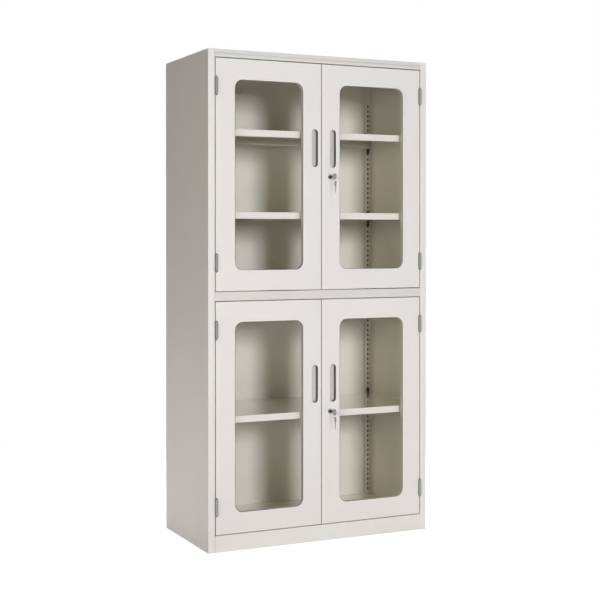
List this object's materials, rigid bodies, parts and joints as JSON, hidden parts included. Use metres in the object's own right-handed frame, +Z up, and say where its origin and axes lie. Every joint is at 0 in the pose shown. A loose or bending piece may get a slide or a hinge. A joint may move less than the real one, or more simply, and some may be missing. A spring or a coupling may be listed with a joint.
{
  "type": "glass door medical cabinet",
  "caption": "Tall steel cabinet with two compartments, each behind a pair of hinged glazed doors with recessed pulls, key locks and shelves on slotted posts.",
  "frame": {"origin": "on the floor, under the middle of the footprint, keys included", "axes": "+Z up, the doors face -Y, +X to the right of someone who faces the doors"},
  "size_m": [0.9, 0.5, 1.8],
  "materials": {
    "painted_steel": "fine-textured powder coat, warm light grey",
    "window_glass": "clear float glass with a faint green tint",
    "pull_metal": "satin grey pressed metal",
    "bare_steel": "bare zinc-plated steel",
    "plated_metal": "bright nickel plating"
  },
  "bodies": {
    "cabinet": {"left_side_panel": "painted_steel", "right_side_panel": "painted_steel", "top_panel": "painted_steel", "top_rail": "painted_steel", "middle_rail": "painted_steel", "middle_panel": "painted_steel", "plinth_rail": "painted_steel", "floor_panel": "painted_steel", "back_panel": "painted_steel", "left_front_post": "painted_steel", "left_rear_post": "painted_steel", "right_front_post": "painted_steel", "right_rear_post": "painted_steel", "upper_top_shelf": "painted_steel", "upper_bottom_shelf": "painted_steel", "lower_shelf": "painted_steel", "upper_left_top_hinge_frame_leaf": "bare_steel", "upper_left_bottom_hinge_frame_leaf": "bare_steel", "upper_right_top_hinge_frame_leaf": "bare_steel", "upper_right_bottom_hinge_frame_leaf": "bare_steel", "lower_left_top_hinge_frame_leaf": "bare_steel", "lower_left_bottom_hinge_frame_leaf": "bare_steel", "lower_right_top_hinge_frame_leaf": "bare_steel", "lower_right_bottom_hinge_frame_leaf": "bare_steel"},
    "upper_left_door": {"upper_left_door_pan": "painted_steel", "upper_left_door_glass": "window_glass", "upper_left_glass_retainer": "painted_steel", "upper_left_pull_cup": "pull_metal", "upper_left_top_hinge_door_leaf": "bare_steel", "upper_left_bottom_hinge_door_leaf": "bare_steel"},
    "upper_right_door": {"upper_right_door_pan": "painted_steel", "upper_right_door_glass": "window_glass", "upper_right_glass_retainer": "painted_steel", "upper_right_pull_cup": "pull_metal", "upper_right_top_hinge_door_leaf": "bare_steel", "upper_right_bottom_hinge_door_leaf": "bare_steel", "upper_right_lock_body": "plated_metal"},
    "upper_right_lock_turn": {"upper_right_lock_plug": "plated_metal", "upper_right_lock_cam": "bare_steel", "upper_right_key": "plated_metal"},
    "upper_right_hanging_keys": {"upper_right_key_ring": "plated_metal", "upper_right_spare_key": "plated_metal"},
    "lower_left_door": {"lower_left_door_pan": "painted_steel", "lower_left_door_glass": "window_glass", "lower_left_glass_retainer": "painted_steel", "lower_left_pull_cup": "pull_metal", "lower_left_top_hinge_door_leaf": "bare_steel", "lower_left_bottom_hinge_door_leaf": "bare_steel"},
    "lower_right_door": {"lower_right_door_pan": "painted_steel", "lower_right_door_glass": "window_glass", "lower_right_glass_retainer": "painted_steel", "lower_right_pull_cup": "pull_metal", "lower_right_top_hinge_door_leaf": "bare_steel", "lower_right_bottom_hinge_door_leaf": "bare_steel", "lower_right_lock_body": "plated_metal"},
    "lower_right_lock_turn": {"lower_right_lock_plug": "plated_metal", "lower_right_lock_cam": "bare_steel", "lower_right_key": "plated_metal"},
    "lower_right_hanging_keys": {"lower_right_key_ring": "plated_metal", "lower_right_spare_key": "plated_metal"}
  },
  "joints": [
    {"name": "upper_left_door_swing", "type": "hinge", "parent": "cabinet", "child": "upper_left_door", "pos_m": [-0.42, -0.206, 1.352], "axis": [0, 0, -1], "range_deg": [0, 170]},
    {"name": "upper_right_door_swing", "type": "hinge", "parent": "cabinet", "child": "upper_right_door", "pos_m": [0.42, -0.206, 1.352], "axis": [0, 0, 1], "range_deg": [0, 170]},
    {"name": "upper_right_lock_quarter_turn", "type": "hinge", "parent": "upper_right_door", "child": "upper_right_lock_turn", "pos_m": [0.037, -0.2, 1.352], "axis": [0, 1, 0], "range_deg": [0, 90]},
    {"name": "upper_right_key_ring_swing", "type": "hinge", "parent": "upper_right_lock_turn", "child": "upper_right_hanging_keys", "pos_m": [0.037, -0.241, 1.3506], "axis": [1, 0, 0], "range_deg": [-30, 30]},
    {"name": "lower_left_door_swing", "type": "hinge", "parent": "cabinet", "child": "lower_left_door", "pos_m": [-0.42, -0.206, 0.48], "axis": [0, 0, -1], "range_deg": [0, 170]},
    {"name": "lower_right_door_swing", "type": "hinge", "parent": "cabinet", "child": "lower_right_door", "pos_m": [0.42, -0.206, 0.48], "axis": [0, 0, 1], "range_deg": [0, 170]},
    {"name": "lower_right_lock_quarter_turn", "type": "hinge", "parent": "lower_right_door", "child": "lower_right_lock_turn", "pos_m": [0.037, -0.2, 0.48], "axis": [0, 1, 0], "range_deg": [0, 90]},
    {"name": "lower_right_key_ring_swing", "type": "hinge", "parent": "lower_right_lock_turn", "child": "lower_right_hanging_keys", "pos_m": [0.037, -0.241, 0.4786], "axis": [1, 0, 0], "range_deg": [-30, 30]}
  ]
}
